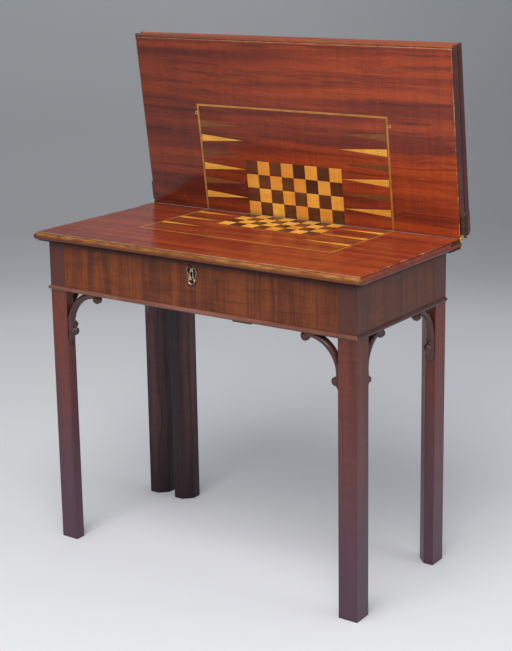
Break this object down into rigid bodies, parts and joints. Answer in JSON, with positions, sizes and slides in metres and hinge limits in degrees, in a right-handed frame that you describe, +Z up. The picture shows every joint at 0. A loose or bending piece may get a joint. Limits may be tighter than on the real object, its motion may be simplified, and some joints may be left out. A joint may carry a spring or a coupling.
{
  "type": "folding games table",
  "caption": "Mahogany games table with hinged folding leaves, an inlaid chess and backgammon board, a lidded storage well, scrolled brackets and a gate leg.",
  "frame": {"origin": "on the floor under the middle of the overall box, leaves as stored included", "axes": "+X along the front to the right, +Y from front to back, +Z up"},
  "size_m": [0.835, 0.4482, 1.1199],
  "materials": {
    "leaf_mahogany": "french polished",
    "frieze_mahogany": "polished veneer",
    "leg_mahogany": "polished",
    "carcase_oak": "unpolished",
    "block_pine": "unpolished",
    "boxwood": "polished inlay",
    "satinwood": "polished inlay",
    "rosewood": "polished inlay",
    "brass": "aged",
    "iron": "dull"
  },
  "bodies": {
    "table_frame": {"leg_front_left": "leg_mahogany", "leg_front_right": "leg_mahogany", "leg_rear_left": "leg_mahogany", "leg_rear_right": "leg_mahogany", "front_rail": "frieze_mahogany", "left_rail": "frieze_mahogany", "right_rail": "frieze_mahogany", "rear_rail": "carcase_oak", "fixed_back_rail": "carcase_oak", "hinge_rail": "carcase_oak", "front_bead": "leg_mahogany", "left_bead": "leg_mahogany", "right_bead": "leg_mahogany", "bracket_front_left": "leg_mahogany", "bracket_front_right": "leg_mahogany", "bracket_left_front": "leg_mahogany", "bracket_left_rear": "leg_mahogany", "bracket_right_front": "leg_mahogany", "bracket_right_rear": "leg_mahogany", "well_floor": "carcase_oak", "glue_blocks": "block_pine", "gate_pin": "iron", "escutcheon": "brass", "lock_case": "brass", "lid_hinge_fixed_leaves": "brass"},
    "lid": {"lower_leaf": "leaf_mahogany", "lower_stringing": "boxwood", "lower_light_squares": "satinwood", "lower_dark_squares": "rosewood", "lower_light_points": "satinwood", "lower_dark_points": "rosewood", "lower_leaf_hinge_plates": "brass", "lid_hinge_moving_leaves": "brass", "link_plate": "brass"},
    "middle_flap": {"middle_leaf": "leaf_mahogany", "middle_stringing": "boxwood", "middle_light_squares": "satinwood", "middle_dark_squares": "rosewood", "middle_light_points": "satinwood", "middle_dark_points": "rosewood", "board_eyelets": "brass", "middle_leaf_lower_plates": "brass", "middle_leaf_upper_plates": "brass"},
    "top_flap": {"top_leaf": "leaf_mahogany", "top_leaf_hinge_plates": "brass"},
    "gate": {"gate_leg": "leg_mahogany", "gate_rail": "carcase_oak"},
    "bolt": {"lock_bolt": "iron"}
  },
  "joints": [
    {"name": "lid_lift", "type": "hinge", "parent": "table_frame", "child": "lid", "pos_m": [0, 0.18003, 0.69085], "axis": [-1, 0, 0], "range_deg": [0, 95]},
    {"name": "middle_leaf_fold", "type": "hinge", "parent": "lid", "child": "middle_flap", "pos_m": [0, 0.18403, 0.71115], "axis": [1, 0, 0], "range_deg": [-97.45, 82.55]},
    {"name": "top_leaf_fold", "type": "hinge", "parent": "middle_flap", "child": "top_flap", "pos_m": [0, 0.20416, 0.71378], "axis": [-1, 0, 0], "range_deg": [0, 180]},
    {"name": "gate_swing", "type": "hinge", "parent": "table_frame", "child": "gate", "pos_m": [0, 0.14293, 0.5807], "axis": [0, 0, 1], "range_deg": [-90, 0]},
    {"name": "lock_bolt_throw", "type": "slide", "parent": "table_frame", "child": "bolt", "axis": [1, 0, 0], "range_m": [0, 0.008]}
  ]
}
